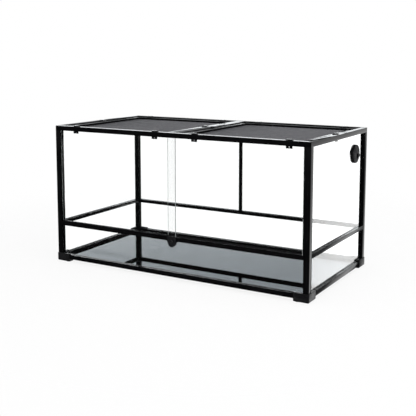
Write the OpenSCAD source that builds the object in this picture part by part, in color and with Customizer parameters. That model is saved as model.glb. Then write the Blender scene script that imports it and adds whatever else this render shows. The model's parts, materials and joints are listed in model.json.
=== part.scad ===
// Knock-down glass terrarium on corner shoes: extruded rails and posts, panes in grooves,
// two overlapping sliding doors in a double track, two lift-out mesh lids and a cable port.
// X to the right, Y away from the doors, Z up. The origin is the centre of the footprint on
// the surface that the rubber pads stand on. All sizes are in millimetres.

/* [Overall] */
// Width over the corner shoes
body_w = 1200; // [1000:10:1300]
// Depth over the corner shoes
body_d = 610; // [500:10:700]
// Height from the surface to the top face of the rails
body_h = 600; // [560:10:640]
// How far the shoes stand proud of the frame faces
shoe_proud = 2; // [0.6:0.1:2.2]
// Play between pieces that slide or lift
play = 0.3; // [0.2:0.05:0.4]

/* [Frame profiles] */
// Face width of the square corner posts
post_w = 24; // [23:0.5:28]
// Radius on the outer edge of a post
post_round = 2.5; // [1:0.5:3.5]
// Depth of the bottom and mid rails
rail_d = 24; // [23:0.5:28]
// Underside of the bottom rails above the surface
bottom_rail_z = 13; // [12:0.5:14]
// Height of the bottom rails
bottom_rail_h = 19; // [18:0.5:22]
// Top face of all mid rails above the surface
mid_top = 180; // [160:1:200]
// Height of the side and back mid rails
mid_rail_h = 15; // [14:0.5:18]
// Height of the front mid rail, the door sill
sill_h = 18; // [18:0.5:22]
// Height of the top rails
top_rail_h = 20; // [20:0.5:24]
// Width of the top face of a top rail
top_face_w = 22; // [21.5:0.5:25]
// Inward reach of the ledge that carries a lid
ledge_w = 8; // [6:0.5:10]
// Thickness of that ledge
ledge_t = 4.7; // [4:0.1:5]
// Width of the bar between the two lids
centre_bar_w = 40; // [36:1:50]
// Width of the post in the middle of the back
centre_post_w = 14; // [13:0.5:16]
// Depth of that post
centre_post_d = 12; // [11:0.5:14]

/* [Glass] */
// Thickness of every wall pane and door
pane_t = 5; // [4:0.5:5]
// Outer face of a wall pane behind the frame face
pane_in = 10; // [9.5:0.5:11]
// How deep a wall pane sits in its grooves
pane_bite = 6; // [4:0.5:6]
// Thickness of the floor pane
floor_t = 5; // [4:0.5:5]
// Top face of the floor pane above the surface
floor_top = 20.5; // [20:0.1:21]
// How deep the floor pane sits in the bottom rails
floor_bite = 8; // [5:0.5:9]

/* [Doors] */
// Width of the channel that holds a track
channel_w = 18; // [17:0.5:18]
// Front wall of that channel
channel_wall = 3; // [2.5:0.25:3]
// Depth of the lower channel
sill_channel_h = 9; // [8:0.5:9]
// Depth of the upper channel
head_channel_h = 13; // [11:0.5:13]
// Wall of the plastic track liners
liner_t = 1.5; // [1:0.1:1.5]
// Right edge of the left door from the middle
left_door_edge = 15; // [12:1:20]
// Left edge of the right door from the middle
right_door_edge = -25; // [-32:1:-22]
// Free height above the doors, for lifting them out
door_lift = 5.5; // [4.5:0.5:6]
// Thickness of the jamb strips
jamb_t = 4; // [3:0.5:5]
// Depth of the slot in a jamb strip
jamb_slot = 2.5; // [1.5:0.5:2.5]

/* [Lock] */
// Width of the lock
lock_w = 41; // [40:0.5:44]
// Axis of the lock plug above the surface
lock_z = 158.5; // [158:0.5:159]
// Radius of the lock plug
plug_r = 8; // [6:0.5:9]
// Reach of the locking cam from the plug's axis
cam_r = 19.4; // [18.5:0.1:19.6]
// Width of the locking cam
cam_w = 8; // [6:0.5:10]
// Thickness of the locking cam
cam_t = 2.6; // [2:0.1:2.8]
// Radius of the round boss at the lock's lower end
boss_r = 17; // [15:0.5:18]

/* [Lids] */
// Width of the lid frame bars
bar_w = 28; // [24:1:32]
// Height of the lid frame bars
bar_h = 11; // [9:0.5:12]
// Mesh below the top face of the bars
mesh_drop = 8.8; // [6:0.2:9]
// Thickness of the mesh
mesh_t = 1; // [0.8:0.1:1]
// Mesh openings along one side of a lid
mesh_count = 12; // [6:1:12]
// Width of the mesh strands
strand_w = 5; // [3:0.5:6]
// How deep the mesh sits under the bars
mesh_bite = 8; // [5:0.5:9]
// Width of a clip
clip_w = 26; // [20:1:30]
// Thickness of the clip's leg
clip_leg_t = 3; // [2:0.25:3]
// How far the clip hangs below the rails
clip_drop = 12; // [8:1:18]
// Thickness of the clip's head
clip_head_t = 2; // [2:0.25:4]
// How far the clip's head covers the rail
clip_over = 8; // [5:0.5:10]
// Clip centre from the end of its bar
clip_in = 73; // [60:1:90]

/* [Cable port] */
// Port axis in front of the back of the tank
port_back = 119; // [100:1:150]
// Port axis below the top face of the rails
port_down = 100; // [90:1:130]
// Radius of the port's flange
port_r = 38.5; // [36:0.5:39]
// Outer radius of the tube through the glass
port_tube_r = 29; // [27:0.5:29.5]
// Wall of that tube
port_tube_t = 3; // [2:0.25:3]
// How far the tube reaches inside the glass
port_tube_in = 12; // [10:0.5:14]
// Thickness of the flange
port_flange_t = 2.6; // [2.5:0.1:3]
// Thickness of the turning dial
dial_t = 2.4; // [2.2:0.1:3]
// Radius of the cable hole in the flange
cable_r = 10; // [7:0.5:10]
// Thickness of the ring nut
nut_t = 8; // [6:0.5:9]

/* [Corner shoes] */
// Length of each leg of a shoe
shoe_l = 64; // [50:1:70]
// Width of each leg of a shoe
shoe_w = 28; // [28:0.5:32]
// Top face of a shoe above the surface
shoe_top = 36; // [35.5:0.5:40]
// Underside of a shoe above the surface
shoe_z = 1.5; // [1:0.5:2]
// Outer wall of a shoe
shoe_wall = 3; // [2.5:0.25:3.5]
// Bevel along the lower outer edges of a shoe
shoe_bevel = 4; // [2:0.5:5]
// Radius of the rubber pads
pad_r = 9; // [7:0.5:10]
// Thickness of the rubber pads
pad_t = 3; // [2.5:0.25:3.5]

/* [Hidden] */
$fn = 48;

BLACK = [0.06, 0.06, 0.065];
PLASTIC = [0.09, 0.09, 0.095];
GLASS = [0.75, 0.88, 0.9, 0.35];
STEEL = [0.7, 0.7, 0.72];

groove_gap = 0.3;      // clearance round a pane in its groove
seat_gap = 0.15;       // clearance round a post or rail end in its shoe
eps = 0.02;            // overshoot of cutters

fx = body_w / 2 - shoe_proud;   // frame faces
fy = body_d / 2 - shoe_proud;
bottom_rail_top = bottom_rail_z + bottom_rail_h;
mid_rail_z = mid_top - mid_rail_h;
sill_z = mid_top - sill_h;
top_rail_z = body_h - top_rail_h;
pane_out_x = fx - pane_in;      // outer faces of the wall panes
pane_out_y = fy - pane_in;
post_in_x = fx - post_w;        // inner faces of the posts
post_in_y = fy - post_w;

// ---------------------------------------------------------------- panes

// A pane is a box [low corner, high corner], and its groove is the same box with a gap round it.
side_pane_y = post_in_y + pane_bite;
front_pane_x = post_in_x + pane_bite;
lower_z0 = bottom_rail_top - pane_bite;
upper_z0 = mid_top - pane_bite;
upper_z1 = top_rail_z + pane_bite;
floor_x = fx - rail_d + floor_bite;
floor_y = fy - rail_d + floor_bite;
centre_bite = 3.5;     // how deep the back panes sit in the centre post
centre_bite_x = centre_post_w / 2 - centre_bite;
centre_y = pane_out_y - pane_t / 2;     // middle of the back panes

function side_pane(s, z0, z1) =
    let (a = s * pane_out_x, b = s * (pane_out_x - pane_t))
    [[min(a, b), -side_pane_y, z0], [max(a, b), side_pane_y, z1]];
function flat_pane(s, x0, x1, z0, z1) =
    let (a = s * pane_out_y, b = s * (pane_out_y - pane_t))
    [[x0, min(a, b), z0], [x1, max(a, b), z1]];

PANE_FLOOR = [[-floor_x, -floor_y, floor_top - floor_t], [floor_x, floor_y, floor_top]];
PANE_LOWER_LEFT = side_pane(-1, lower_z0, mid_rail_z + pane_bite);
PANE_LOWER_RIGHT = side_pane(1, lower_z0, mid_rail_z + pane_bite);
PANE_LOWER_FRONT = flat_pane(-1, -front_pane_x, front_pane_x, lower_z0, sill_z + pane_bite);
PANE_LOWER_BACK = flat_pane(1, -front_pane_x, front_pane_x, lower_z0, mid_rail_z + pane_bite);
PANE_UPPER_LEFT = side_pane(-1, upper_z0, upper_z1);
PANE_UPPER_RIGHT = side_pane(1, upper_z0, upper_z1);
PANE_BACK_LEFT = flat_pane(1, -front_pane_x, -centre_bite_x, upper_z0, upper_z1);
PANE_BACK_RIGHT = flat_pane(1, centre_bite_x, front_pane_x, upper_z0, upper_z1);
ALL_PANES = [
    PANE_FLOOR, PANE_LOWER_LEFT, PANE_LOWER_RIGHT, PANE_LOWER_FRONT, PANE_LOWER_BACK,
    PANE_UPPER_LEFT, PANE_UPPER_RIGHT, PANE_BACK_LEFT, PANE_BACK_RIGHT
];

module box(b, grow = 0) {
    g = [grow, grow, grow];
    translate(b[0] - g) cube(b[1] - b[0] + 2 * g);
}

module pane(b) color(GLASS) box(b);

// Cuts the grooves of the named panes out of a frame piece
module grooved(panes) {
    difference() {
        children();
        for (b = panes) box(b, groove_gap);
    }
}

// ---------------------------------------------------------------- corners

// Puts a corner piece, drawn for the right back corner, on the corner of signs sx and sy
module at_corner(sx, sy) {
    mirror([sx < 0 ? 1 : 0, 0, 0]) mirror([0, sy < 0 ? 1 : 0, 0]) children();
}

// Square with its outer corner at (x1, y1) rounded
module corner_square(x1, y1, w, r) {
    difference() {
        translate([x1 - w, y1 - w]) square(w);
        difference() {
            translate([x1 - r, y1 - r]) square(r + eps);
            translate([x1 - r, y1 - r]) circle(r);
        }
    }
}

peg_w = 6;             // square peg of a top corner connector
peg_in = 2.4;          // peg behind the frame faces
peg_l = 36;            // length of the peg inside the post
plate_t = 3.6;         // thickness of the connector's plate
plate_w = 14;          // width of the connector's legs
plate_in = 4;          // plate behind the frame faces
plate_l = 46;          // length of the connector's legs
plate_down = 5.4;      // underside of the plate below the top face of the rails
plate_z = body_h - plate_down;
fit_gap = 0.1;         // clearance round the connectors

module connector(gap = 0) {
    translate([fx - plate_in - plate_l - gap, fy - plate_in - plate_w - gap, plate_z - gap])
        cube([plate_l + 2 * gap, plate_w + 2 * gap, plate_t + 2 * gap]);
    translate([fx - plate_in - plate_w - gap, fy - plate_in - plate_l - gap, plate_z - gap])
        cube([plate_w + 2 * gap, plate_l + 2 * gap, plate_t + 2 * gap]);
    translate([fx - peg_in - peg_w - gap, fy - peg_in - peg_w - gap, top_rail_z - peg_l - gap])
        cube([peg_w + 2 * gap, peg_w + 2 * gap, plate_z - top_rail_z + peg_l + 2 * gap]);
}

screw_in = 9;          // shoe screw behind the frame faces
screw_r = 2;
screw_head_r = 4.2;
screw_head_t = 2.6;
screw_gap = 0.2;       // clearance round a screw in its shoe
screw_sink = 1.2;      // screw heads above the underside of the shoes
screw_head_z = shoe_z + screw_sink;
post_z = floor_top + 2;
screw_bite = 26;       // length of a screw inside its post
screw_top = post_z + screw_bite;
pin_r = 2;             // dowel pins between rails and posts
pin_l = 16;
pin_in = 5;            // pins behind the frame faces
sill_pin_up = 4.5;     // sill's pins above its underside
pad_end = 4;           // pads from the end of a shoe's leg

// Skin of a shoe round the post and the rail ends, which are cut back by it
module shoe_skin(gap = 0) {
    x0 = fx + shoe_proud - shoe_wall - gap;
    y0 = fy + shoe_proud - shoe_wall - gap;
    l = shoe_l + gap;
    translate([x0, fy + shoe_proud - l, 0]) cube([shoe_wall + 2, l + 2, shoe_top + gap]);
    translate([fx + shoe_proud - l, y0, 0]) cube([l + 2, shoe_wall + 2, shoe_top + gap]);
}

module pad_spots() {
    x = fx + shoe_proud - shoe_w / 2;
    y = fy + shoe_proud - shoe_w / 2;
    translate([x, fy + shoe_proud - shoe_l + pad_r + pad_end, 0]) children();
    translate([fx + shoe_proud - shoe_l + pad_r + pad_end, y, 0]) children();
}

module shoe(sx, sy) {
    ox = fx + shoe_proud;
    oy = fy + shoe_proud;
    tall = shoe_top - shoe_z;
    color(PLASTIC) difference() {
        at_corner(sx, sy) difference() {
            translate([0, 0, shoe_z]) linear_extrude(tall) {
                corner_square(ox, oy, shoe_w, post_round);
                translate([ox - shoe_l, oy - shoe_w]) square([shoe_l - shoe_w + eps, shoe_w]);
                translate([ox - shoe_w, oy - shoe_l]) square([shoe_w, shoe_l - shoe_w + eps]);
            }
            // bevels along the two lower outer edges
            translate([ox, 0, shoe_z]) rotate([0, 45, 0])
                cube([shoe_bevel * sqrt(2), 2 * body_d, shoe_bevel * sqrt(2)], center = true);
            translate([0, oy, shoe_z]) rotate([45, 0, 0])
                cube([2 * body_w, shoe_bevel * sqrt(2), shoe_bevel * sqrt(2)], center = true);
            // socket for the post
            translate([0, 0, post_z - seat_gap]) linear_extrude(shoe_top)
                translate([post_in_x - seat_gap, post_in_y - seat_gap])
                square([fx + shoe_proud - shoe_wall - post_in_x + seat_gap,
                        fy + shoe_proud - shoe_wall - post_in_y + seat_gap]);
            // sockets for the rail ends, which stop at the post
            translate([fx + shoe_proud - shoe_l - 1, fy - rail_d - seat_gap, bottom_rail_z - seat_gap])
                cube([shoe_l - shoe_proud - post_w + 1,
                      rail_d + shoe_proud - shoe_wall + seat_gap, bottom_rail_h + 2 * seat_gap]);
            translate([fx - rail_d - seat_gap, fy + shoe_proud - shoe_l - 1, bottom_rail_z - seat_gap])
                cube([rail_d + shoe_proud - shoe_wall + seat_gap,
                      shoe_l - shoe_proud - post_w + 1, bottom_rail_h + 2 * seat_gap]);
            // nothing stands inside the glass above the underside of the floor pane
            translate([0, 0, floor_top - floor_t - groove_gap])
                cube([pane_out_x - pane_t - groove_gap, pane_out_y - pane_t - groove_gap, shoe_top]);
            // screw hole with a counterbore, and pockets for the pads
            translate([fx - screw_in, fy - screw_in, 0]) cylinder(r = screw_r + screw_gap, h = shoe_top);
            translate([fx - screw_in, fy - screw_in, 0])
                cylinder(r = screw_head_r + play, h = screw_head_z + screw_head_t);
            pad_spots() cylinder(r = pad_r + fit_gap, h = pad_t);
        }
        box(PANE_FLOOR, groove_gap);
        for (b = [PANE_LOWER_LEFT, PANE_LOWER_RIGHT, PANE_LOWER_FRONT, PANE_LOWER_BACK])
            box(b, groove_gap);
    }
}

module foot_pads() {
    color([0.12, 0.12, 0.12]) for (sx = [-1, 1], sy = [-1, 1])
        at_corner(sx, sy) pad_spots() cylinder(r = pad_r, h = pad_t);
}

module shoe_screws() {
    slot_w = 1;
    slot_d = 1.1;
    color(STEEL) for (sx = [-1, 1], sy = [-1, 1]) at_corner(sx, sy)
        translate([fx - screw_in, fy - screw_in, screw_head_z]) {
            difference() {
                cylinder(r = screw_head_r, h = screw_head_t);
                translate([-slot_w / 2, -screw_head_r, -eps])
                    cube([slot_w, 2 * screw_head_r, slot_d + eps]);
            }
            cylinder(r = screw_r, h = screw_top - screw_head_z);
        }
}

module post(sx, sy) {
    color(BLACK) grooved(ALL_PANES) difference() {
        at_corner(sx, sy) difference() {
            translate([0, 0, post_z]) linear_extrude(top_rail_z - post_z)
                corner_square(fx, fy, post_w, post_round);
            shoe_skin(seat_gap);
            connector(fit_gap);
            translate([fx - screw_in, fy - screw_in, 0]) cylinder(r = screw_r, h = screw_top);
        }
        frame_pins(fit_gap);
    }
}

module corner_connectors() {
    color(PLASTIC) for (sx = [-1, 1], sy = [-1, 1]) at_corner(sx, sy) connector();
}

// ---------------------------------------------------------------- pins

centre_pin_z = body_h - 3.5;            // pins between the rails and the centre bar
centre_pin_r = 1.5;

module pin(p, axis, r, gap) {
    turn = axis == "x" ? [0, 90, 0] : axis == "y" ? [-90, 0, 0] : [0, 0, 0];
    translate(p) rotate(turn) cylinder(r = r + gap, h = pin_l + 2 * gap, center = true);
}

// Dowel pins that hold the mid rails, the centre post and the centre bar
module frame_pins(gap = 0) {
    mid_z = mid_top - mid_rail_h / 2;
    color(STEEL) {
        for (s = [-1, 1]) {
            for (t = [-1, 1]) pin([s * (fx - pin_in), t * post_in_y, mid_z], "y", pin_r, gap);
            pin([s * post_in_x, fy - pin_in, mid_z], "x", pin_r, gap);
            pin([s * post_in_x, -fy + pin_in, sill_z + sill_pin_up], "x", pin_r, gap);
            pin([0, s * (fy - top_face_w), centre_pin_z], "y", centre_pin_r, gap);
        }
        for (z = [mid_top, top_rail_z]) pin([0, centre_y, z], "z", pin_r, gap);
    }
}

// ---------------------------------------------------------------- rails

module bottom_rail_x(sy) {
    color(BLACK) grooved(ALL_PANES) difference() {
        translate([-post_in_x, sy > 0 ? fy - rail_d : -fy, bottom_rail_z])
            cube([2 * post_in_x, rail_d, bottom_rail_h]);
        for (sx = [-1, 1]) at_corner(sx, sy) shoe_skin(seat_gap);
    }
}

module bottom_rail_y(sx) {
    color(BLACK) grooved(ALL_PANES) difference() {
        translate([sx > 0 ? fx - rail_d : -fx, -post_in_y, bottom_rail_z])
            cube([rail_d, 2 * post_in_y, bottom_rail_h]);
        for (sy = [-1, 1]) at_corner(sx, sy) shoe_skin(seat_gap);
    }
}

module mid_rail_y(sx) {
    color(BLACK) grooved(ALL_PANES) difference() {
        translate([sx > 0 ? fx - rail_d : -fx, -post_in_y, mid_rail_z])
            cube([rail_d, 2 * post_in_y, mid_rail_h]);
        frame_pins(fit_gap);
    }
}

module mid_rail_back() {
    color(BLACK) grooved(ALL_PANES) difference() {
        translate([-post_in_x, fy - rail_d, mid_rail_z])
            cube([2 * post_in_x, rail_d, mid_rail_h]);
        frame_pins(fit_gap);
    }
}

module back_centre_post() {
    color(BLACK) grooved([PANE_BACK_LEFT, PANE_BACK_RIGHT]) difference() {
        translate([-centre_post_w / 2, centre_y - centre_post_d / 2, mid_top])
            cube([centre_post_w, centre_post_d, top_rail_z - mid_top]);
        frame_pins(fit_gap);
    }
}

rail_reach = top_face_w + ledge_w;      // inner edge of the ledges
rail_edge = 1;                          // bevel along the top edges of the rails

// Section of a top rail: it runs inward from the frame face, with z up
module top_section() {
    polygon([
        [0, top_rail_z], [rail_reach, top_rail_z], [rail_reach, top_rail_z + ledge_t],
        [top_face_w, top_rail_z + ledge_t], [top_face_w, body_h - rail_edge],
        [top_face_w - rail_edge, body_h], [rail_edge, body_h], [0, body_h - rail_edge]
    ]);
}

// Keeps what lies between two mitres: a strip along X from x0 to x1, its outer edge at -y,
// with each mitre set back by gap
module mitred(x0, x1, y, w, gap = 0) {
    intersection() {
        children();
        linear_extrude(2 * body_h)
            polygon([[x0 + gap, -y], [x1 - gap, -y], [x1 - gap - w, -y + w], [x0 + gap + w, -y + w]]);
    }
}

// Front rail and left rail, mitred at both ends
module top_rail_blank_x() {
    mitred(-fx, fx, fy, rail_reach)
        translate([-fx, -fy, 0]) rotate([90, 0, 90]) linear_extrude(2 * fx) top_section();
}

module top_rail_blank_y() {
    rotate([0, 0, -90]) mitred(-fy, fy, fx, rail_reach)
        translate([-fy, -fx, 0]) rotate([90, 0, 90]) linear_extrude(2 * fy) top_section();
}

lid_gap = 1;           // lid frame beside the rails
lid_rest = 0.3;        // lid frame above the ledges
clip_gap = 0.4;        // clip leg beside the rail
notch_side = 1;        // clearance beside a clip in the ledge
notch_l = clip_w + 2 * notch_side;
notch_back = 0.5;      // clearance behind a clip's leg in the ledge
notch_d = clip_gap + clip_leg_t + notch_back;
// where the clips of the lids stand along a front or back rail
CLIP_X = [
    -(fx - top_face_w - lid_gap - clip_in), -(centre_bar_w / 2 + lid_gap + clip_in),
    centre_bar_w / 2 + lid_gap + clip_in, fx - top_face_w - lid_gap - clip_in
];

module ledge_notch_x(x) {
    translate([x - notch_l / 2, -fy + top_face_w, top_rail_z - 1])
        cube([notch_l, notch_d, ledge_t + 2]);
}

module post_round_cut() {
    difference() {
        translate([fx - post_round, fy - post_round, top_rail_z - 1])
            cube([post_round + 1, post_round + 1, top_rail_h + 2]);
        translate([fx - post_round, fy - post_round, top_rail_z - 2])
            cylinder(r = post_round, h = top_rail_h + 4);
    }
}

module top_rail_x(sy, channel) {
    color(BLACK) grooved(channel ? [] : ALL_PANES) difference() {
        mirror([0, sy > 0 ? 1 : 0, 0]) difference() {
            top_rail_blank_x();
            for (x = CLIP_X) ledge_notch_x(x);
            translate([-centre_bar_w / 2 - ledge_w, -fy + top_face_w, top_rail_z - 1])
                cube([centre_bar_w + 2 * ledge_w, ledge_w + 1, ledge_t + 2]);
            if (channel)
                translate([-post_in_x, -fy + channel_wall, top_rail_z - 1])
                    cube([2 * post_in_x, channel_w, head_channel_h + 1]);
        }
        for (sx = [-1, 1]) at_corner(sx, sy) {
            connector(fit_gap);
            post_round_cut();
        }
        frame_pins(fit_gap);
    }
}

module top_rail_y(sx) {
    color(BLACK) grooved(ALL_PANES) difference() {
        mirror([sx > 0 ? 1 : 0, 0, 0]) difference() {
            top_rail_blank_y();
            translate([-fx + top_face_w, -notch_l / 2, top_rail_z - 1])
                cube([notch_d, notch_l, ledge_t + 2]);
        }
        for (sy = [-1, 1]) at_corner(sx, sy) {
            connector(fit_gap);
            post_round_cut();
        }
    }
}

module top_centre_bar() {
    half = centre_bar_w / 2;
    l = fy - top_face_w;
    color(BLACK) difference() {
        union() {
            translate([-half, -l, top_rail_z]) cube([2 * half, 2 * l, top_rail_h]);
            translate([-half - ledge_w, -l, top_rail_z]) cube([2 * (half + ledge_w), 2 * l, ledge_t]);
        }
        for (s = [-1, 1]) mirror([s > 0 ? 1 : 0, 0, 0])
            translate([half, -notch_l / 2, top_rail_z - 1]) cube([notch_d, notch_l, ledge_t + 2]);
        frame_pins(fit_gap);
    }
}

// ---------------------------------------------------------------- doors

lane_w = (channel_w - 3 * liner_t) / 2;
front_lane = channel_wall + liner_t + lane_w / 2;     // lane centres behind the front face
rear_lane = front_lane + lane_w + liner_t;
door_z0 = mid_top - sill_channel_h + liner_t + play;
door_z1 = top_rail_z + head_channel_h - liner_t - door_lift;
door_side = post_in_x - jamb_t + jamb_slot - play;    // outer edge of a closed door
liner_end = post_in_x - play;

module liner(z0, h, up) {
    color(PLASTIC) difference() {
        translate([-liner_end, -fy + channel_wall, z0]) cube([2 * liner_end, channel_w, h]);
        for (lane = [front_lane, rear_lane])
            translate([-liner_end - 1, -fy + lane - lane_w / 2, up ? z0 + liner_t : z0 - 1])
                cube([2 * liner_end + 2, lane_w, h - liner_t + 1]);
        cam_slot();
    }
}

module cam_slot() {
    translate([-cam_r - play, -fy + cam_y - cam_gap, lock_z])
        cube([2 * (cam_r + play), cam_t + 2 * cam_gap, cam_r + 2 * play]);
}

module door_sill() {
    color(BLACK) grooved(ALL_PANES) difference() {
        translate([-post_in_x, -fy, sill_z]) cube([2 * post_in_x, rail_d, sill_h]);
        translate([-post_in_x - 1, -fy + channel_wall, mid_top - sill_channel_h])
            cube([2 * post_in_x + 2, channel_w, sill_h]);
        // recess for the upper half of the lock, and the slot that its cam swings in
        translate([-lock_w / 2 - seat_gap, -fy - 1, sill_z - 1])
            cube([lock_w + 2 * seat_gap, channel_wall + 1, sill_h + 2]);
        cam_slot();
        on_lock(-fy + cam_y) cylinder(r = plug_r + seat_gap, h = fy);
        frame_pins(fit_gap);
    }
}

module lower_track() liner(mid_top - sill_channel_h, sill_channel_h, true);
module upper_track() liner(top_rail_z, head_channel_h, false);

module door_jamb(s, lane) {
    color(PLASTIC) difference() {
        translate([s > 0 ? post_in_x - jamb_t : -post_in_x, -fy, mid_top])
            cube([jamb_t, top_face_w, top_rail_z - mid_top]);
        translate([s > 0 ? post_in_x - jamb_t - 1 : -post_in_x + jamb_t - jamb_slot,
                   -fy + lane - pane_t / 2 - play, mid_top - 1])
            cube([jamb_slot + 1, pane_t + 2 * play, top_rail_z - mid_top + 2]);
    }
}

glide_w = lane_w - 2 * play;                          // plastic glides under the doors
glide_lip = 4.5;                                      // how far they grip the glass
glide_base = 2;                                       // least plastic under the glass
cam_over = 0.6;                                       // glass above the raised cam
door_glass_z = max(door_z0 + glide_base, lock_z + cam_r + cam_over);
glide_end = post_in_x - jamb_t - play;                // outer end, beside the jamb
cam_side = 1;                                         // left glide beside the raised cam
left_glide_edge = -cam_w / 2 - cam_side;
right_glide_edge = right_door_edge + 1;

module door(x0, x1, lane) {
    color(GLASS) translate([x0, -fy + lane - pane_t / 2, door_glass_z])
        cube([x1 - x0, pane_t, door_z1 - door_glass_z]);
}

// U-shaped strip that the lower edge of a door sits in, and slides on
module door_glide(x0, x1, lane) {
    color(PLASTIC) translate([x0, -fy + lane, 0]) difference() {
        translate([0, -glide_w / 2, door_z0])
            cube([x1 - x0, glide_w, door_glass_z + glide_lip - door_z0]);
        translate([-1, -pane_t / 2 - turn_gap, door_glass_z])
            cube([x1 - x0 + 2, pane_t + 2 * turn_gap, glide_lip + 1]);
    }
}

// ---------------------------------------------------------------- lock

cam_y = front_lane - cam_t / 2;            // front face of the cam behind the frame face
lock_face = fy + shoe_proud;               // front face of the lock
lock_back = fy - pane_in + play;           // its rear face, in front of the glass
cam_gap = 0.4;                             // room for the cam on each side
turn_gap = 0.05;                           // radial clearance of what turns in a bore

// Places its children on the lock's axis at y, with their z towards the viewer of the doors
module on_lock(y) translate([0, y, lock_z]) rotate([90, 0, 0]) children();

boss_drop = 5;                             // middle of the boss, and the shoulders, below the plug

module lock_body() {
    r = lock_w / 2;
    swing = cam_w / 2 + play;
    color(PLASTIC) difference() {
        union() {
            // shoulders with the round boss below them
            translate([0, 0, -boss_drop])
                on_lock(-lock_back) cylinder(r = boss_r, h = lock_face - lock_back);
            translate([-r, -lock_face, lock_z - boss_drop])
                cube([lock_w, lock_face - lock_back, sill_z - lock_z + boss_drop - seat_gap]);
            translate([-r, -lock_face, sill_z - 1])
                cube([lock_w, shoe_proud + channel_wall - seat_gap, sill_h + 1]);
        }
        // what lies inside the sill, above its underside
        translate([-r - 1, -fy + channel_wall - seat_gap, sill_z - seat_gap])
            cube([lock_w + 2, rail_d, sill_h + 10]);
        translate([-r - 1, -lock_face - 1, mid_top]) cube([lock_w + 2, rail_d, sill_h]);
        // bore for the plug, and the cavity that the cam turns in, closed by the glass behind it
        on_lock(-lock_back) cylinder(r = plug_r + turn_gap, h = lock_face);
        intersection() {
            on_lock(-lock_back + 1)
                cylinder(r = cam_r + play, h = fy - cam_y - lock_back + cam_gap + 1);
            translate([-swing, -fy, lock_z - swing])
                cube([swing + cam_r + play, rail_d, swing + cam_r + play]);
        }
    }
}

// The plug with its key slot, and the cam that points aside at rest and up when locked
module lock_plug() {
    cam_front = fy - cam_y;
    key_w = 1.2;
    key_h = 8;
    key_d = 3;
    plug_in = 0.2;             // face of the plug behind the face of the lock
    color(STEEL) difference() {
        union() {
            on_lock(-cam_front + cam_t)
                cylinder(r = plug_r, h = lock_face - plug_in - cam_front + cam_t);
            intersection() {
                on_lock(-cam_front + cam_t) cylinder(r = cam_r, h = cam_t);
                translate([0, -cam_front, lock_z - cam_w / 2]) cube([cam_r + 1, cam_t, cam_w]);
            }
        }
        translate([-key_w / 2, -lock_face - 1, lock_z - key_h / 2]) cube([key_w, key_d + 1, key_h]);
    }
}

// ---------------------------------------------------------------- lids

lid_z = top_rail_z + ledge_t + lid_rest;
lid_top = lid_z + bar_h;
lid_x0 = centre_bar_w / 2 + lid_gap;        // right lid, its left and right ends
lid_x1 = fx - top_face_w - lid_gap;
lid_y = fy - top_face_w - lid_gap;
mesh_z = lid_top - mesh_drop - mesh_t;
rabbet_gap = 0.5;                           // beside the mesh and its retainer
rabbet_w = mesh_bite + rabbet_gap;
bar_edge = 0.8;                             // bevel along the top edges of the bars
mitre_gap = 0.1;                            // each bar's end from the line of its mitre

// Section of a lid bar: u runs inward from the outer edge, z up
module bar_section() {
    difference() {
        polygon([
            [0, lid_z], [bar_w, lid_z], [bar_w, lid_top - bar_edge], [bar_w - bar_edge, lid_top],
            [bar_edge, lid_top], [0, lid_top - bar_edge]
        ]);
        translate([bar_w - rabbet_w, lid_z - 1]) square([rabbet_w + 1, mesh_z + mesh_t - lid_z + 1]);
    }
}

// A mitred bar along X from x0 to x1, its outer edge at -y
module lid_bar(x0, x1, y) {
    mitred(x0, x1, y, bar_w, mitre_gap)
        translate([x0, -y, 0]) rotate([90, 0, 90]) linear_extrude(x1 - x0) bar_section();
}

// Four mitred bars of the right lid
module lid_bars() {
    for (a = [0, 180]) rotate([0, 0, a])
        lid_bar(a == 0 ? lid_x0 : -lid_x1, a == 0 ? lid_x1 : -lid_x0, lid_y);
    rotate([0, 0, 90]) lid_bar(-lid_y, lid_y, lid_x1);
    rotate([0, 0, -90]) lid_bar(-lid_y, lid_y, -lid_x0);
}

// Calls its children in the frame of each clip of the right lid: X along the rail, Y inward
// from the lid's outer edge, with the origin at that edge
module clip_places() {
    for (t = [0, 1]) mirror([0, t, 0]) for (x = [lid_x0 + clip_in, lid_x1 - clip_in])
        translate([x, -lid_y, 0]) children();
    translate([lid_x0, 0, 0]) rotate([0, 0, -90]) children();
    translate([lid_x1, 0, 0]) rotate([0, 0, 90]) children();
}

leg_y = -lid_gap + clip_gap;                // outer face of a clip's leg

module clip() {
    slot_w = 2;
    reach = 12;
    slope = 35;
    head_z = body_h + play;
    translate([-clip_w / 2, 0, 0]) difference() {
        union() {
            translate([0, leg_y, top_rail_z - clip_drop])
                cube([clip_w, clip_leg_t, lid_top - top_rail_z + clip_drop]);
            translate([0, leg_y, lid_top]) cube([clip_w, reach, head_z + clip_head_t - lid_top]);
            translate([0, leg_y - clip_over, head_z]) cube([clip_w, clip_over + 1, clip_head_t]);
        }
        translate([clip_w / 2 - slot_w / 2, leg_y - 1, top_rail_z - clip_drop - 1])
            cube([slot_w, clip_leg_t + 2, clip_drop - 1]);
        // sloped inner end of the head
        translate([-1, leg_y + reach, head_z - 1]) rotate([slope, 0, 0])
            cube([clip_w + 2, reach, reach]);
    }
}

module clip_recess() {
    translate([-clip_w / 2, -lid_gap - 1, lid_z - 1])
        cube([clip_w, 1 + lid_gap + leg_y + clip_leg_t, bar_h + 2]);
}

module lid_frame() {
    color(BLACK) difference() {
        lid_bars();
        clip_places() clip_recess();
    }
}

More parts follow.
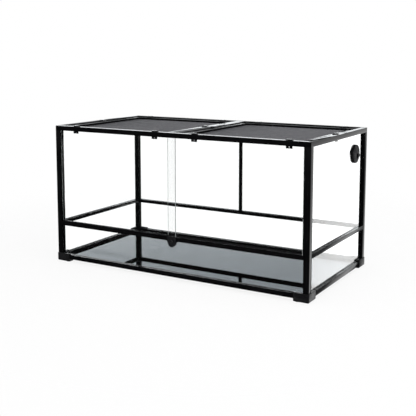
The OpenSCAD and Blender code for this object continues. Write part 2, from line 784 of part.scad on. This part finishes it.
module lid_mesh() {
    x0 = lid_x0 + bar_w - mesh_bite;
    x1 = lid_x1 - bar_w + mesh_bite;
    y = lid_y - bar_w + mesh_bite;
    pitch_x = (x1 - x0 - 2 * mesh_bite + strand_w) / mesh_count;
    pitch_y = (2 * (y - mesh_bite) + strand_w) / mesh_count;
    color([0.25, 0.25, 0.26]) translate([0, 0, mesh_z]) linear_extrude(mesh_t) difference() {
        translate([x0, -y]) square([x1 - x0, 2 * y]);
        for (i = [0:mesh_count - 1], j = [0:mesh_count - 1])
            translate([x0 + mesh_bite + i * pitch_x, -y + mesh_bite + j * pitch_y])
                square([pitch_x - strand_w, pitch_y - strand_w]);
    }
}

// Ring that holds the mesh up against the bars
module lid_retainer() {
    x0 = lid_x0 + bar_w - mesh_bite;
    x1 = lid_x1 - bar_w + mesh_bite;
    y = lid_y - bar_w + mesh_bite;
    color(PLASTIC) translate([0, 0, lid_z]) linear_extrude(mesh_z - lid_z) difference() {
        translate([x0, -y]) square([x1 - x0, 2 * y]);
        translate([x0 + mesh_bite, -y + mesh_bite])
            square([x1 - x0 - 2 * mesh_bite, 2 * (y - mesh_bite)]);
    }
}

module lid_clips() color(PLASTIC) clip_places() clip();

module left_side() mirror([1, 0, 0]) children();

// ---------------------------------------------------------------- cable port

gasket_t = 1;
glass_x = pane_out_x;                       // outer face of the right pane
flange_x = glass_x + gasket_t;              // inner face of the flange
port_y = body_d / 2 - port_back;
port_z = body_h - port_down;
port_in_r = port_tube_r - port_tube_t;      // bore of the sleeve
port_hole_gap = 0.4;                        // sleeve in the hole of the pane
port_hole_r = port_tube_r + port_hole_gap;
dial_gap = 0.3;
gasket_in = 0.5;                            // rim of the gasket from the rim of the flange
dial_x = flange_x + port_flange_t + dial_gap;
dial_r = port_r - 1;
stud_r = 3;                                 // stud that the dial turns on
stud_head_r = 4;                            // its snap head, sunk in the flange's back
stud_head_t = 0.9;
stud_sink_r = stud_head_r + dial_gap;
stud_sink_t = stud_head_t + 2 * dial_gap - eps;
port_web = 1.2;                             // least wall between the stud and the cable hole
rib_t = 0.8;                                // height of the grip ribs
rib_in = 2;                                 // their ends from the rim of the dial
cable_gap = 0.5;                            // the dial's cable hole round the flange's
cable_a = -40;                              // direction of the cable hole, below and behind
cable_off = (stud_sink_r + port_web + port_in_r) / 2;

module on_port(x) {
    translate([x, port_y, port_z]) rotate([90, 0, 90]) children();
}

module cable_spot() rotate([0, 0, cable_a]) translate([cable_off, 0, 0]) children();

// Disc outside the glass, with the hole for the cable and the seat of the dial's stud
module cable_port_flange() {
    color(PLASTIC) on_port(flange_x) difference() {
        cylinder(r = port_r, h = port_flange_t);
        translate([0, 0, -1]) cylinder(r = stud_r + turn_gap, h = port_flange_t + 2);
        translate([0, 0, -1]) cylinder(r = stud_sink_r, h = stud_sink_t + 1);
        translate([0, 0, -1]) cable_spot() cylinder(r = cable_r, h = port_flange_t + 2);
    }
}

// Sleeve that goes through the glass and carries the ring nut
module cable_port_sleeve() {
    l = pane_t + port_tube_in + gasket_t;
    color(PLASTIC) on_port(flange_x - l) difference() {
        cylinder(r = port_tube_r, h = l);
        translate([0, 0, -1]) cylinder(r = port_in_r, h = l + 2);
    }
}

module cable_port_gasket() {
    color([0.15, 0.15, 0.15]) on_port(glass_x) difference() {
        cylinder(r = port_r - gasket_in, h = gasket_t);
        translate([0, 0, -1]) cylinder(r = port_tube_r + fit_gap, h = gasket_t + 2);
    }
}

module cable_port_nut() {
    lobes = 12;
    lobe_r = 3.5;
    lobe_out = 1.5;                         // centres of the finger hollows outside the rim
    rim_t = 1;                              // what is left of the rim behind them
    color(PLASTIC) on_port(glass_x - pane_t - nut_t) difference() {
        cylinder(r = port_r, h = nut_t);
        translate([0, 0, -1]) cylinder(r = port_tube_r + fit_gap, h = nut_t + 2);
        for (i = [0:lobes - 1]) rotate([0, 0, i * 360 / lobes])
            translate([port_r + lobe_out, 0, -1]) cylinder(r = lobe_r, h = nut_t + 1 - rim_t);
    }
}

// Turning cover with grip ribs and two ears; its cable hole lines up with the flange's at rest
module cable_port_dial() {
    ear_w = 12;
    ear_out = 7;                            // reach of the ears past the flange
    ear_a = -14;                            // tilt of the ears and ribs
    ear_r = port_r + ear_out;
    rib_n = 6;
    rib_pitch = 8;
    rib_w = 3;
    color(PLASTIC) on_port(dial_x) difference() {
        union() {
            cylinder(r = dial_r, h = dial_t);
            rotate([0, 0, ear_a]) intersection() {
                translate([-ear_r, -ear_w / 2, 0]) cube([2 * ear_r, ear_w, dial_t]);
                cylinder(r = ear_r, h = dial_t);
            }
            rotate([0, 0, ear_a]) for (i = [0:rib_n - 1]) intersection() {
                translate([-dial_r, (i - (rib_n - 1) / 2) * rib_pitch - rib_w / 2, 0])
                    cube([2 * dial_r, rib_w, dial_t + rib_t]);
                cylinder(r = dial_r - rib_in, h = dial_t + rib_t);
            }
            translate([0, 0, flange_x - dial_x + dial_gap])
                cylinder(r = stud_r, h = dial_x - flange_x);
            translate([0, 0, flange_x - dial_x + dial_gap])
                cylinder(r = stud_head_r, h = stud_head_t);
        }
        translate([0, 0, -1]) cable_spot() cylinder(r = cable_r + cable_gap, h = dial_t + rib_t + 2);
    }
}

module upper_pane_right() {
    color(GLASS) difference() {
        box(PANE_UPPER_RIGHT);
        on_port(glass_x - pane_t - 1) cylinder(r = port_hole_r, h = pane_t + 2);
    }
}

shoe(-1, -1);  // shoe_front_left
shoe(1, -1);  // shoe_front_right
shoe(-1, 1);  // shoe_back_left
shoe(1, 1);  // shoe_back_right
foot_pads();
post(-1, -1);  // post_front_left
post(1, -1);  // post_front_right
post(-1, 1);  // post_back_left
post(1, 1);  // post_back_right
bottom_rail_x(-1);  // bottom_rail_front
bottom_rail_x(1);  // bottom_rail_back
bottom_rail_y(-1);  // bottom_rail_left
bottom_rail_y(1);  // bottom_rail_right
door_sill();
mid_rail_back();
mid_rail_y(-1);  // mid_rail_left
mid_rail_y(1);  // mid_rail_right
top_rail_x(-1, true);  // top_rail_front
top_rail_x(1, false);  // top_rail_back
top_rail_y(-1);  // top_rail_left
top_rail_y(1);  // top_rail_right
top_centre_bar();
back_centre_post();
corner_connectors();
frame_pins();
shoe_screws();
pane(PANE_FLOOR);  // floor_pane
pane(PANE_LOWER_FRONT);  // lower_pane_front
pane(PANE_LOWER_BACK);  // lower_pane_back
pane(PANE_LOWER_LEFT);  // lower_pane_left
pane(PANE_LOWER_RIGHT);  // lower_pane_right
pane(PANE_UPPER_LEFT);  // upper_pane_left
upper_pane_right();
pane(PANE_BACK_LEFT);  // upper_pane_back_left
pane(PANE_BACK_RIGHT);  // upper_pane_back_right
lower_track();
upper_track();
door_jamb(-1, front_lane);  // door_jamb_left
door_jamb(1, rear_lane);  // door_jamb_right
door(-door_side, left_door_edge, front_lane);  // left_door
door(right_door_edge, door_side, rear_lane);  // right_door
door_glide(-glide_end, left_glide_edge, front_lane);  // left_door_glide
door_glide(right_glide_edge, glide_end, rear_lane);  // right_door_glide
lock_body();
lock_plug();
left_side() lid_frame();  // left_lid_frame
lid_frame();  // right_lid_frame
left_side() lid_mesh();  // left_lid_mesh
lid_mesh();  // right_lid_mesh
left_side() lid_retainer();  // left_lid_retainer
lid_retainer();  // right_lid_retainer
left_side() lid_clips();  // left_lid_clips
lid_clips();  // right_lid_clips
cable_port_flange();
cable_port_sleeve();
cable_port_gasket();
cable_port_nut();
cable_port_dial();
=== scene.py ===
# Looks of the glass terrarium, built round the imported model. Metres, in the frame of the CAD.
import json
import math

import bmesh
import bpy
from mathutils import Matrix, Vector


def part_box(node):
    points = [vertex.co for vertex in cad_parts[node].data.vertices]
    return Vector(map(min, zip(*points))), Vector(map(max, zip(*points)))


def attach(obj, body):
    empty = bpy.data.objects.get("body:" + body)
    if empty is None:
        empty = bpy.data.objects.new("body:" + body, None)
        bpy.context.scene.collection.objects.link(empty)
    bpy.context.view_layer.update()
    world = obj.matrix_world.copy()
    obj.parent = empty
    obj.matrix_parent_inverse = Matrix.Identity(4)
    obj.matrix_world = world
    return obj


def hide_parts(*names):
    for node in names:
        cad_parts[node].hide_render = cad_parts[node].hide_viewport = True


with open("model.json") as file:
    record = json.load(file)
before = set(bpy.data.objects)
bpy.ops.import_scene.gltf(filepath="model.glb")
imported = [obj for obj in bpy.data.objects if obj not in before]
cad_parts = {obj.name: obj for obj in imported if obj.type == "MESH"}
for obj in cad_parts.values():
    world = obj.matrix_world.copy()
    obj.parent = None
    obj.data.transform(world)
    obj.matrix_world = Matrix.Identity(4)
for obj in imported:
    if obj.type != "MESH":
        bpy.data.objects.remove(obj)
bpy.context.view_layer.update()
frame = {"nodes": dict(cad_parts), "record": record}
NODES = frame["nodes"]
RECORD = frame["record"]
BODY_OF = {n: b for b, ns in RECORD["behaviour"]["bodies"].items() for n in ns}
SLOT_OF = {p["node"]: p["material_slot"] for p in RECORD["subparts"]}
LOCK_AXIS = next(Vector(j["pos_m"]) for j in RECORD["behaviour"]["joints"]
                 if j["name"] == "lock_turn")
scene = bpy.context.scene
MM = 0.001


# ------------------------------------------------------------------ node trees
class Tree:
    """Short ways to write a node tree. A value is a number, a colour or another node's output."""

    def __init__(self, owner):
        owner.use_nodes = True
        self.nodes = owner.node_tree.nodes
        self.links = owner.node_tree.links

    def new(self, kind):
        return self.nodes.new("ShaderNode" + kind)

    def put(self, value, socket):
        if isinstance(value, bpy.types.NodeSocket):
            self.links.new(value, socket)
        else:
            socket.default_value = value

    def put_all(self, values, sockets):
        for value, socket in zip(values, sockets):
            self.put(value, socket)

    def ramp(self, value, start, end, low, high, shape="SMOOTHSTEP"):
        """From low at start to high at end."""
        r = self.new("MapRange")
        r.interpolation_type = shape
        self.put_all((value, start, end, low, high), r.inputs)
        return r.outputs["Result"]

    def math(self, kind, a, b):
        m = self.new("Math")
        m.operation = kind
        self.put_all((a, b), m.inputs)
        return m.outputs[0]

    def mix(self, factor, a, b):
        """Mix of two numbers."""
        m = self.new("Mix")
        self.put_all((factor, a, b), (m.inputs[k] for k in ("Factor", "A", "B")))
        return m.outputs["Result"]

    def blend(self, factor, a, b):
        """Mix of two shaders."""
        m = self.new("MixShader")
        self.put_all((factor, a, b), m.inputs)
        return m.outputs[0]


class Shader(Tree):
    """A Principled material with a few noise layers, written in object coordinates."""

    def __init__(self, name, base, rough, **sockets):
        self.mat = bpy.data.materials.new(name)
        super().__init__(self.mat)
        self.bsdf = self.nodes["Principled BSDF"]
        self.bsdf.inputs["Base Color"].default_value = (*base, 1)
        self.bsdf.inputs["Roughness"].default_value = rough
        for key, value in sockets.items():
            self.bsdf.inputs[key.replace("_", " ")].default_value = value
        self.coord = self.new("TexCoord").outputs["Object"]
        self.last_bump = None

    def noise(self, scale, detail, stretch=(1, 1, 1)):
        place = self.new("Mapping")
        place.inputs["Scale"].default_value = stretch
        self.put(self.coord, place.inputs["Vector"])
        n = self.new("TexNoise")
        self.put(place.outputs["Vector"], n.inputs["Vector"])
        for key, value in (("Scale", scale), ("Detail", detail), ("Roughness", 0.55)):
            n.inputs[key].default_value = value
        return n.outputs["Fac"]

    def colour(self, value, a, b):
        """Base colour between a and b."""
        r = self.new("ValToRGB")
        for element, place, rgb in zip(r.color_ramp.elements, (0.3, 0.7), (a, b)):
            element.position = place
            element.color = (*rgb, 1)
        self.put(value, r.inputs["Fac"])
        self.put(r.outputs["Color"], self.bsdf.inputs["Base Color"])

    def rough(self, value, low, high, start=0.35, end=0.65):
        self.put(self.ramp(value, start, end, low, high, "LINEAR"), self.bsdf.inputs["Roughness"])

    def bump(self, value, depth):
        b = self.new("Bump")
        for key, v in (("Strength", 1), ("Distance", depth), ("Height", value)):
            self.put(v, b.inputs[key])
        if self.last_bump:
            self.put(self.last_bump, b.inputs["Normal"])
        self.last_bump = b.outputs["Normal"]
        self.put(self.last_bump, self.bsdf.inputs["Normal"])


# ------------------------------------------------------------------ materials
def gloss_black(name, stretch):
    """Glossy black coated bar: faint extrusion lines along it, and a fine orange peel."""
    s = Shader(name, (0.005, 0.005, 0.0055), 0.12, IOR=1.5, Specular_IOR_Level=0.06)
    s.colour(s.noise(14, 4), (0.0025, 0.0025, 0.0028), (0.005, 0.005, 0.0055))
    s.rough(s.noise(60, 4), 0.05, 0.10)
    s.bump(s.noise(900, 2, stretch), 0.004 * MM)
    s.bump(s.noise(420, 2), 0.008 * MM)
    return s.mat


def satin_plastic(name, a, b, low, high, gloss=0.1, ior=1.48):
    """Moulded plastic with a fine spark-eroded grain."""
    s = Shader(name, a, (low + high) / 2, IOR=ior, Specular_IOR_Level=gloss)
    s.colour(s.noise(25, 4), a, b)
    s.rough(s.noise(90, 4), low, high)
    s.bump(s.noise(1500, 3), 0.05 * MM)
    return s.mat


def clear_glass(name, tint, scale=3.5, haze=0.012):
    """Clear pane. Shadow rays pass it, so that the light inside the tank is the light outside."""
    s = Shader(name, tint, 0.0, IOR=1.5, Transmission_Weight=1.0)
    s.rough(s.noise(scale, 5), 0.0, haze, 0.45, 0.75)
    clear = s.new("BsdfTransparent")
    clear.inputs["Color"].default_value = (*[c * 0.98 for c in tint], 1)
    in_shadow = s.new("LightPath").outputs["Is Shadow Ray"]
    s.put(s.blend(in_shadow, s.bsdf.outputs["BSDF"], clear.outputs["BSDF"]),
          s.nodes["Material Output"].inputs["Surface"])
    return s.mat


def rubber():
    """Matt pad with a little dust."""
    s = Shader("pad_rubber", (0.022, 0.022, 0.022), 0.8, IOR=1.45)
    s.colour(s.noise(300, 5), (0.015, 0.015, 0.015), (0.032, 0.031, 0.030))
    s.rough(s.noise(700, 3), 0.7, 0.92)
    s.bump(s.noise(2200, 3), 0.12 * MM)
    return s.mat


def metal(name, a, b, low, high):
    """Plain turned metal with faint tool marks."""
    s = Shader(name, a, (low + high) / 2, Metallic=1.0)
    s.colour(s.noise(220, 3), a, b)
    s.rough(s.noise(500, 3), low, high)
    s.bump(s.noise(1800, 2), 0.02 * MM)
    return s.mat


def mesh_wire():
    """Dark grey coated wire, a little lighter where the coating is thin."""
    s = Shader("mesh_wire", (0.10, 0.10, 0.108), 0.5, IOR=1.45)
    s.colour(s.noise(55, 5), (0.085, 0.085, 0.092), (0.125, 0.125, 0.134))
    s.rough(s.noise(800, 3), 0.42, 0.62)
    s.bump(s.noise(3000, 2), 0.03 * MM)
    return s.mat


def base_glass():
    """Black-backed floor pane: a dark mirror with faint wipe marks."""
    s = Shader("base_glass", (0.026, 0.042, 0.055), 0.01, Metallic=1.0)
    s.colour(s.noise(6, 6), (0.022, 0.037, 0.049), (0.032, 0.049, 0.063))
    s.rough(s.noise(9, 6, (0.3, 1, 1)), 0.004, 0.014)
    return s.mat


def ground_edge():
    """Ground and lightly polished edge of a pane: frosted, grey green."""
    s = Shader("ground_edge", (0.36, 0.40, 0.39), 0.45, IOR=1.5, Transmission_Weight=0.35)
    s.colour(s.noise(120, 4), (0.30, 0.34, 0.33), (0.44, 0.48, 0.47))
    s.rough(s.noise(400, 3), 0.35, 0.6)
    s.bump(s.noise(2500, 2), 0.03 * MM)
    return s.mat


LINES = {"x": (0.02, 1, 1), "y": (1, 0.02, 1), "z": (1, 1, 0.02)}     # stretched along the bar
BLACK = {axis: gloss_black("gloss_black_" + axis, stretch) for axis, stretch in LINES.items()}
PANE_TINT = (0.993, 0.998, 0.997)
WIRE = mesh_wire()
EDGE = ground_edge()
MATERIAL = {
    "shoe_plastic": satin_plastic("shoe_plastic", (0.008, 0.008, 0.009), (0.016, 0.016, 0.017),
                                  0.26, 0.38),
    "track_plastic": satin_plastic("track_plastic", (0.010, 0.010, 0.011), (0.018, 0.018, 0.019),
                                   0.25, 0.4),
    "clip_plastic": satin_plastic("clip_plastic", (0.006, 0.006, 0.007), (0.012, 0.012, 0.013),
                                  0.12, 0.2, gloss=0.3),
    "port_plastic": satin_plastic("port_plastic", (0.005, 0.005, 0.006), (0.011, 0.011, 0.012),
                                  0.3, 0.45, gloss=0.04, ior=1.28),
    "lock_plastic": satin_plastic("lock_plastic", (0.009, 0.009, 0.010), (0.015, 0.015, 0.017),
                                  0.18, 0.3),
    "pad_rubber": rubber(),
    "screw_steel": metal("screw_steel", (0.50, 0.50, 0.52), (0.62, 0.62, 0.64), 0.2, 0.36),
    "lock_metal": metal("lock_metal", (0.30, 0.30, 0.31), (0.42, 0.42, 0.44), 0.16, 0.3),
    "mesh_metal": WIRE,
    "wall_glass": clear_glass("wall_glass", PANE_TINT),
    "door_glass": clear_glass("door_glass", PANE_TINT),
    "jamb_clear": clear_glass("jamb_plastic", (0.97, 0.98, 0.98), 40, 0.08),
    "base_glass": base_glass(),
}


def material_for(node):
    """The material of a node's slot. The lines on black bars run along the node's longest side."""
    slot = SLOT_OF[node]
    if slot != "frame_black":
        return MATERIAL[slot]
    lo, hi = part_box(node)
    return BLACK["xyz"[max(range(3), key=lambda i: hi[i] - lo[i])]]


for name, obj in NODES.items():
    obj.data.materials.clear()
    obj.data.materials.append(material_for(name))


# ------------------------------------------------------------------ pieces
def new_piece(name, bm, body, slot, mat, nodes):
    mesh = bpy.data.meshes.new(name)
    bm.to_mesh(mesh)
    bm.free()
    obj = bpy.data.objects.new(name, mesh)
    scene.collection.objects.link(obj)
    mesh.materials.append(mat)
    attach(obj, body)
    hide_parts(*nodes)
    return obj


FACING = 0.99                   # a normal this far along y faces the front or the back
PLATE_RIM = 5 * MM
PLATE_DEPTH = 0.5 * MM
PLATE_FACE = 4e-4               # square metres: a smaller face gets no panel
POCKET_MARGIN = 2 * MM


def bare_plate(bm):
    """A shallow panel with a raised rim on the front face of a shoe."""
    facing = [f for f in bm.faces if f.normal.y < -FACING]
    front = min(f.calc_center_median().y for f in facing)
    faces = [f for f in facing if f.calc_area() > PLATE_FACE
             and f.calc_center_median().y - front < 0.1 * MM]
    bmesh.ops.inset_individual(bm, faces=faces, thickness=PLATE_RIM, depth=0)
    bmesh.ops.inset_individual(bm, faces=faces, thickness=PLATE_DEPTH, depth=-PLATE_DEPTH)


def in_lock_pocket(edge):
    """Whether an edge lies in the space that the lock's cam turns in, which keeps its room."""
    lo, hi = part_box("lock_plug")
    reach = max(LOCK_AXIS.x - lo.x, hi.x - LOCK_AXIS.x, hi.z - LOCK_AXIS.z) + POCKET_MARGIN
    return all(math.hypot(v.co.x - LOCK_AXIS.x, v.co.z - LOCK_AXIS.z) < reach
               for v in edge.verts)


HARD = math.radians(28)         # an edge is rounded from this angle up
COPLANAR = math.radians(0.5)    # faces closer than this are one
CREASE = math.radians(50)       # shading breaks from this angle up


def softened(node, width, segments=2, extra=None, sharp=None):
    """The node's own shape with its hard edges rounded, in place of the node."""
    bm = bmesh.new()
    bm.from_mesh(NODES[node].data)
    bmesh.ops.remove_doubles(bm, verts=bm.verts, dist=0.001 * MM)
    bmesh.ops.dissolve_limit(bm, angle_limit=COPLANAR, verts=bm.verts, edges=bm.edges,
                             use_dissolve_boundaries=False)
    hard = [e for e in bm.edges
            if len(e.link_faces) == 2 and e.calc_face_angle(0) > HARD and not (sharp and sharp(e))]
    bmesh.ops.bevel(bm, geom=hard, offset=width, offset_type="OFFSET", segments=segments,
                    profile=0.5, affect="EDGES", clamp_overlap=True)
    if extra:
        extra(bm)
    for f in bm.faces:
        f.smooth = True
    bmesh.ops.triangulate(bm, faces=[f for f in bm.faces if len(f.verts) > 4])
    obj = new_piece("soft_" + node, bm, BODY_OF[node], SLOT_OF[node], material_for(node), [node])
    obj.data.set_sharp_from_angle(angle=CREASE)
    return obj


# Width of the rounded edges of each slot's nodes, in millimetres
SOFTEN = {
    "frame_black": 0.8, "shoe_plastic": 0.6, "track_plastic": 0.3, "lock_plastic": 0.6,
    "clip_plastic": 0.4, "port_plastic": 0.35, "jamb_clear": 0.3,
}
# Nodes of those slots that stay as they are, since nothing shows their edges
HIDDEN = {"corner_connectors", "left_lid_retainer", "right_lid_retainer"}
EXTRA = {"shoe_front_right": bare_plate}
SHARP = {"door_sill": in_lock_pocket, "lower_track": in_lock_pocket}

for name in sorted(NODES):
    slot = SLOT_OF[name]
    if slot in SOFTEN and name not in HIDDEN:
        softened(name, SOFTEN[slot] * MM, extra=EXTRA.get(name), sharp=SHARP.get(name))

WIRE_PITCH = 2.0 * MM
WIRE_R = 0.24 * MM
WIRE_LIFT = 0.9 * WIRE_R        # of a layer from the middle: the two bite into each other a little
WIRE_SIDES = 6


def add_wire(bm, along, place, z, span):
    """A wire along x (0) or y (1) from span[0] to span[1], at a place on the other axis."""
    rings = []
    for end in span:
        ring = []
        for k in range(WIRE_SIDES):
            a = math.radians(360 / WIRE_SIDES * k)
            p = [0, 0, z + WIRE_R * math.sin(a)]
            p[along] = end
            p[1 - along] = place + WIRE_R * math.cos(a)
            ring.append(bm.verts.new(p))
        rings.append(ring)
    for k in range(WIRE_SIDES):
        m = (k + 1) % WIRE_SIDES
        bm.faces.new((rings[0][k], rings[0][m], rings[1][m], rings[1][k]))
    bm.faces.new(rings[0][::-1])
    bm.faces.new(rings[1])


def wire_mesh(side):
    """Fine wire cloth of one lid: two crossing layers of wires, ending under the lid's bars."""
    node = side + "_lid_mesh"
    lo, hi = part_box(node)
    bm = bmesh.new()
    for along, lift in ((0, WIRE_LIFT), (1, -WIRE_LIFT)):
        across = 1 - along
        gaps = int((hi[across] - lo[across] - 2 * WIRE_R) / WIRE_PITCH)
        start = (lo[across] + hi[across]) / 2 - gaps * WIRE_PITCH / 2
        z = (lo.z + hi.z) / 2 + lift
        for i in range(gaps + 1):
            add_wire(bm, along, start + i * WIRE_PITCH, z, (lo[along], hi[along]))
    bmesh.ops.recalc_face_normals(bm, faces=bm.faces)
    for f in bm.faces:
        f.smooth = len(f.verts) == 4
    new_piece(side + "_wire_cloth", bm, side + "_lid", "mesh_metal", WIRE, [node])


def door_pane(side):
    """Sliding pane with fine arrises, its four edges ground."""
    obj = softened(side + "_door", 0.5 * MM, segments=1)
    obj.data.materials.append(EDGE)
    for f in obj.data.polygons:
        f.use_smooth = False
        f.material_index = 0 if abs(f.normal.y) > FACING else 1


for make in (wire_mesh, door_pane):
    for side in ("left", "right"):
        make(side)


# ------------------------------------------------------------------ floor
FLOOR_RADIUS = 6.0
FLOOR_DROP = 0.2 * MM           # keeps the floor clear of the pads that stand on it
FLOOR_SHADE = 0.13              # share of lit surface in the floor's own white
FLOOR_FADE = (0.9, 2.2)         # distances from the object between which it fades out
FLOOR_COLOUR = (0.86, 0.86, 0.86, 1)


def floor_material():
    """White with some shade. Fades out with the distance, and doesn't show in gloss."""
    mat = bpy.data.materials.new("studio_floor")
    t = Tree(mat)
    t.nodes.clear()
    path = t.new("LightPath").outputs
    glow = t.new("Emission").outputs[0]
    body = t.new("BsdfDiffuse")
    body.inputs["Color"].default_value = FLOOR_COLOUR
    shown = t.blend(FLOOR_SHADE, glow, body.outputs[0])
    seen = t.math("MAXIMUM", path["Is Camera Ray"], path["Is Transmission Ray"])
    floor = t.blend(seen, body.outputs[0], shown)
    far = t.new("VectorMath")
    far.operation = "LENGTH"
    t.put(t.new("TexCoord").outputs["Object"], far.inputs[0])
    faded = t.ramp(far.outputs["Value"], *FLOOR_FADE, 0, 1)
    gone = t.math("MAXIMUM", faded, path["Is Glossy Ray"])
    clear = t.new("BsdfTransparent").outputs[0]
    t.put(t.blend(gone, floor, clear), t.new("OutputMaterial").inputs["Surface"])
    return mat


def make_floor():
    bm = bmesh.new()
    bmesh.ops.create_circle(bm, cap_ends=True, radius=FLOOR_RADIUS, segments=96)
    mesh = bpy.data.meshes.new("studio_floor")
    bm.to_mesh(mesh)
    bm.free()
    obj = bpy.data.objects.new("studio_floor", mesh)
    obj.location.z = -FLOOR_DROP
    scene.collection.objects.link(obj)
    mesh.materials.append(floor_material())


# ------------------------------------------------------------------ world
# What gloss sees round the tank, by the direction (x, y, z) of the ray. Strength 1 is white.
# A ramp is (start, end, strength or share at the start, the same at the end).
DARK = 0.02                              # the least that gloss sees behind the tank and in the room
SIDE = 1.75                              # beside the tank
LEAST_Y = 0.05                           # the slope is z / y, with y no less than this
BAND_LIGHT = (-0.72, -0.5, 1.9, 2.2)     # low band behind the tank, by x
BAND_FOOT = (-0.02, 0.03, 0, 1)          # by the slope
BAND_TOP = (0.135, 0.16, 1, 0)           # by the slope, with a dark strip above it
WALL_LIGHT = (-0.7, -0.35, 1.45, 1.2)    # wall above the dark strip, by x
WALL_FOOT = (0.288, 0.298, 0, 1)         # by the slope
CARD_LIGHT = (-0.3, -0.1, 2.3, SIDE)     # low card on the right, by z
CARD_END = (0.45, 0.55, 1, 0.3)          # by x: a view from the back would mirror what is past it
CARD_TOP = (-0.05, 0.05, 0, 1)           # by z, from the card to what is beside the tank
TO_RIGHT = (-0.05, 0.25, 0, 1)           # by x, from what is behind to what is beside
ROOM = (0.05, 0.25, DARK, 0.75)          # room in front, dark below, by z
TO_BACK = (-0.4, 0.15, 0, 1)             # by y, from the room in front to the rest
COOL = (0.95, 0.98, 1.0, 1)              # what gloss sees behind the tank is a little cool

AMBIENT = 0.72                           # for light that falls on matt surfaces
PANE_LOSS = 1.27                         # the white behind panes makes up for what they reflect


def gloss_strength(t, x, y, z, to_right):
    """Strength that gloss sees in the direction x, y, z."""
    slope = t.math("DIVIDE", z, t.math("MAXIMUM", y, LEAST_Y))
    band = t.math("MULTIPLY", t.ramp(slope, *BAND_FOOT), t.ramp(slope, *BAND_TOP))
    low = t.math("MULTIPLY", t.ramp(x, *BAND_LIGHT), band)
    high = t.math("MULTIPLY", t.ramp(x, *WALL_LIGHT), t.ramp(slope, *WALL_FOOT))
    behind = t.math("ADD", t.math("ADD", low, high), DARK)
    card = t.math("MULTIPLY", t.ramp(x, *CARD_END), t.ramp(z, *CARD_LIGHT))
    beside = t.mix(t.ramp(z, *CARD_TOP), card, SIDE)
    return t.mix(t.ramp(y, *TO_BACK), t.ramp(z, *ROOM), t.mix(to_right, behind, beside))


def make_world():
    """White to the eye, also through glass. Only gloss sees the dark room and the cards."""
    world = bpy.data.worlds.new("studio")
    scene.world = world
    t = Tree(world)
    t.nodes.clear()
    path, axes = t.new("LightPath").outputs, t.new("SeparateXYZ")
    t.put(t.new("TexCoord").outputs["Generated"], axes.inputs[0])
    x, y, z = (axes.outputs[k] for k in "XYZ")
    to_right = t.ramp(x, *TO_RIGHT)
    gloss = gloss_strength(t, x, y, z, to_right)

    through = t.math("MAXIMUM", t.math("MULTIPLY", path["Is Transmission Ray"], PANE_LOSS),
                     path["Is Camera Ray"])
    lit = t.mix(path["Is Glossy Ray"], AMBIENT, gloss)
    direct = t.mix(t.math("MINIMUM", through, 1.0), lit, through)
    # a ray that has reflected once sees what gloss sees, also after a pane
    reflected = t.math("MINIMUM", path["Glossy Depth"], 1.0)
    cool = t.new("MixRGB")
    t.put_all((t.math("MULTIPLY", reflected, t.math("SUBTRACT", 1.0, to_right)),
               (1, 1, 1, 1), COOL), cool.inputs)

    back = t.new("Background")
    t.put(cool.outputs[0], back.inputs["Color"])
    t.put(t.mix(reflected, direct, gloss), back.inputs["Strength"])
    t.put(back.outputs[0], t.new("OutputWorld").inputs["Surface"])


# ------------------------------------------------------------------ light and camera
def area_lamp(name, place, aim, size, power):
    data = bpy.data.lights.new(name, "AREA")
    data.shape = "RECTANGLE"
    data.size, data.size_y = size
    data.energy = power
    obj = bpy.data.objects.new(name, data)
    scene.collection.objects.link(obj)
    obj.location = place
    obj.rotation_euler = (Vector(aim) - Vector(place)).to_track_quat("-Z", "Y").to_euler()
    obj.visible_camera = False
    obj.visible_glossy = False
    obj.visible_transmission = False


# The camera stands where the photograph's corners put it.
AZIMUTH = math.radians(30.374)
ELEVATION = math.radians(7.096)
DISTANCE = 3.3651
TARGET = Vector((-0.00745, 0, 0.5166))
SENSOR_WIDTH = 36               # millimetres, as is the lens
LENS = 67.57
SHIFT_Y = -0.15                 # the photograph's uprights are parallel and its horizon is high


def make_camera():
    back = Vector((math.sin(AZIMUTH) * math.cos(ELEVATION),
                   -math.cos(AZIMUTH) * math.cos(ELEVATION), math.sin(ELEVATION)))
    data = bpy.data.cameras.new("camera")
    data.sensor_width = SENSOR_WIDTH
    data.lens = LENS
    data.shift_y = SHIFT_Y
    data.clip_start, data.clip_end = 0.05, 100
    cam = bpy.data.objects.new("camera", data)
    scene.collection.objects.link(cam)
    cam.location = TARGET + back * DISTANCE
    cam.rotation_euler = (-back).to_track_quat("-Z", "Y").to_euler()
    scene.camera = cam


make_floor()
make_world()
area_lamp("soft_top", place=(0.6, -0.6, 2.6), aim=(0, 0, 0.4), size=(2.6, 2.0), power=32)
area_lamp("soft_right", place=(2.8, 0.2, 1.3), aim=(0.2, 0, 0.3), size=(1.6, 1.6), power=14)
make_camera()
scene.view_settings.view_transform = "Standard"
